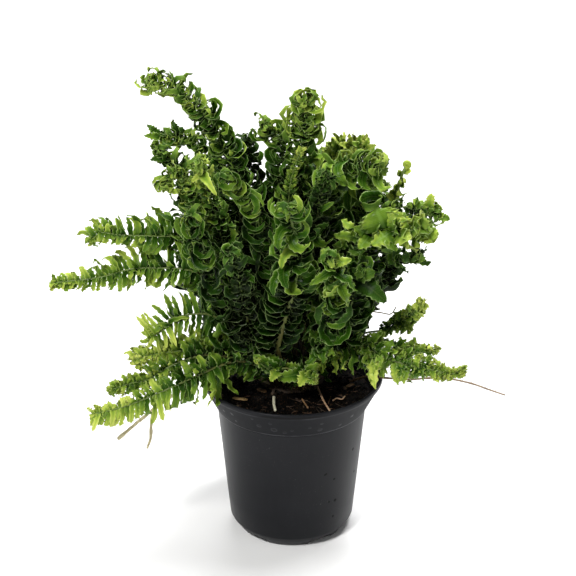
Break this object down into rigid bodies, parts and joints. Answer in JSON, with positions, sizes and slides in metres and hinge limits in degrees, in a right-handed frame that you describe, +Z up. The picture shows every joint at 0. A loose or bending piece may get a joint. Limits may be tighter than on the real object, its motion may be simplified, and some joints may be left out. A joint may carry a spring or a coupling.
{
  "type": "potted boston fern",
  "caption": "Curly-leaved Boston fern growing in a small round black nursery pot of dark potting mix; a free-standing potted plant.",
  "frame": {"origin": "centre of the pot's flat base disc, on the plane it stands on", "axes": "+Z up along the pot's axis, -Y towards the viewer of the picture, +X to the picture's right"},
  "size_m": [0.269, 0.1489, 0.2882],
  "materials": {
    "pot": "satin",
    "soil": "rough",
    "crown": "rough",
    "frond_top_left": "satin",
    "frond_upper_left_a": "satin",
    "frond_upper_left_b": "satin",
    "frond_left_hook": "satin",
    "frond_left_bright": "satin",
    "frond_mid_left": "satin",
    "frond_centre_front": "satin",
    "frond_centre_rosette": "satin",
    "frond_right_col": "satin",
    "frond_centre_up": "satin",
    "frond_top_centre": "satin",
    "frond_top_centre_left": "satin",
    "frond_top_mid_left": "satin",
    "frond_spiky": "satin",
    "frond_dome_top": "satin",
    "frond_dome_arch": "satin",
    "frond_dome_right": "satin",
    "frond_right_bright": "satin",
    "frond_right_yellow": "satin",
    "frond_right_mid": "satin",
    "frond_right_ring": "satin",
    "frond_flat_upper_left": "satin",
    "frond_flat_long_left": "satin",
    "frond_flat_mid_left": "satin",
    "frond_low_left_yellow": "satin",
    "frond_low_left_dark": "satin",
    "frond_low_left_long": "satin",
    "frond_front_crenate": "satin",
    "frond_front_tuft": "satin",
    "frond_low_right_fan": "satin",
    "frond_low_right_upper": "satin",
    "frond_right_small": "satin",
    "frond_back_top_left": "satin",
    "frond_back_left": "satin",
    "frond_back_centre": "satin",
    "frond_back_right_top": "satin",
    "frond_back_right": "satin",
    "frond_back_right_low": "satin",
    "frond_back_left_low": "satin",
    "frond_back_low": "satin",
    "frond_back_low_right": "satin",
    "frond_back_low_left": "satin",
    "frond_left_inner": "satin",
    "frond_left_olive": "satin",
    "fiddlehead": "matte",
    "runner_right": "matte",
    "dead_stem_right": "matte",
    "dead_stem_left": "matte",
    "dead_runner_left": "matte",
    "root_twig": "matte",
    "stick_pale": "matte",
    "stick_small": "matte",
    "root_curl": "matte",
    "bark_chip_left": "matte",
    "bark_chip_right": "matte",
    "bark_chip_mid": "matte"
  },
  "bodies": {
    "root": {"pot": "pot", "soil": "soil", "crown": "crown", "frond_top_left": "frond_top_left", "frond_upper_left_a": "frond_upper_left_a", "frond_upper_left_b": "frond_upper_left_b", "frond_left_hook": "frond_left_hook", "frond_left_bright": "frond_left_bright", "frond_mid_left": "frond_mid_left", "frond_centre_front": "frond_centre_front", "frond_centre_rosette": "frond_centre_rosette", "frond_right_col": "frond_right_col", "frond_centre_up": "frond_centre_up", "frond_top_centre": "frond_top_centre", "frond_top_centre_left": "frond_top_centre_left", "frond_top_mid_left": "frond_top_mid_left", "frond_spiky": "frond_spiky", "frond_dome_top": "frond_dome_top", "frond_dome_arch": "frond_dome_arch", "frond_dome_right": "frond_dome_right", "frond_right_bright": "frond_right_bright", "frond_right_yellow": "frond_right_yellow", "frond_right_mid": "frond_right_mid", "frond_right_ring": "frond_right_ring", "frond_flat_upper_left": "frond_flat_upper_left", "frond_flat_long_left": "frond_flat_long_left", "frond_flat_mid_left": "frond_flat_mid_left", "frond_low_left_yellow": "frond_low_left_yellow", "frond_low_left_dark": "frond_low_left_dark", "frond_low_left_long": "frond_low_left_long", "frond_front_crenate": "frond_front_crenate", "frond_front_tuft": "frond_front_tuft", "frond_low_right_fan": "frond_low_right_fan", "frond_low_right_upper": "frond_low_right_upper", "frond_right_small": "frond_right_small", "frond_back_top_left": "frond_back_top_left", "frond_back_left": "frond_back_left", "frond_back_centre": "frond_back_centre", "frond_back_right_top": "frond_back_right_top", "frond_back_right": "frond_back_right", "frond_back_right_low": "frond_back_right_low", "frond_back_left_low": "frond_back_left_low", "frond_back_low": "frond_back_low", "frond_back_low_right": "frond_back_low_right", "frond_back_low_left": "frond_back_low_left", "frond_left_inner": "frond_left_inner", "frond_left_olive": "frond_left_olive", "fiddlehead": "fiddlehead", "runner_right": "runner_right", "dead_stem_right": "dead_stem_right", "dead_stem_left": "dead_stem_left", "dead_runner_left": "dead_runner_left", "root_twig": "root_twig", "stick_pale": "stick_pale", "stick_small": "stick_small", "root_curl": "root_curl", "bark_chip_left": "bark_chip_left", "bark_chip_right": "bark_chip_right", "bark_chip_mid": "bark_chip_mid"}
  },
  "joints": []
}
